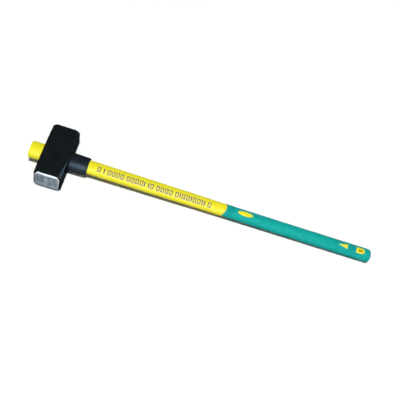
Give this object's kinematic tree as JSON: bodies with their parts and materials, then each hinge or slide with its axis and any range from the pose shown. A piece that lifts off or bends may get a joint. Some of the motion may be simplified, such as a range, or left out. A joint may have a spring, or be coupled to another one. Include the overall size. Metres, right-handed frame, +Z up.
{
  "type": "sledgehammer",
  "caption": "Long-handled double-face sledgehammer: black forged head, black overstrike sleeve, yellow fibreglass-cored handle and teal soft grip, lying on its cheek.",
  "frame": {"origin": "on the surface that the hammer lies on, below the middle of its length and width", "axes": "+X runs along the handle from head to butt, +Y is the striking axis, +Z is up, out of the upper cheek"},
  "size_m": [0.9002, 0.1572, 0.0653],
  "materials": {
    "head_lacquer": "satin black lacquer over forged steel; the striking faces are ground bright",
    "fibreglass": "pultruded glass fibre in resin",
    "yellow_jacket": "moulded polypropylene, semi-gloss",
    "teal_grip": "soft elastomer, satin",
    "black_sleeve": "smooth semi-gloss black sleeve",
    "eye_resin": "cured dark adhesive"
  },
  "bodies": {
    "root": {"hammer_head": "head_lacquer", "fibreglass_core": "fibreglass", "handle_jacket": "yellow_jacket", "soft_grip": "teal_grip", "head_collar": "black_sleeve", "eye_resin_top": "eye_resin", "eye_resin_low": "eye_resin"}
  },
  "joints": []
}
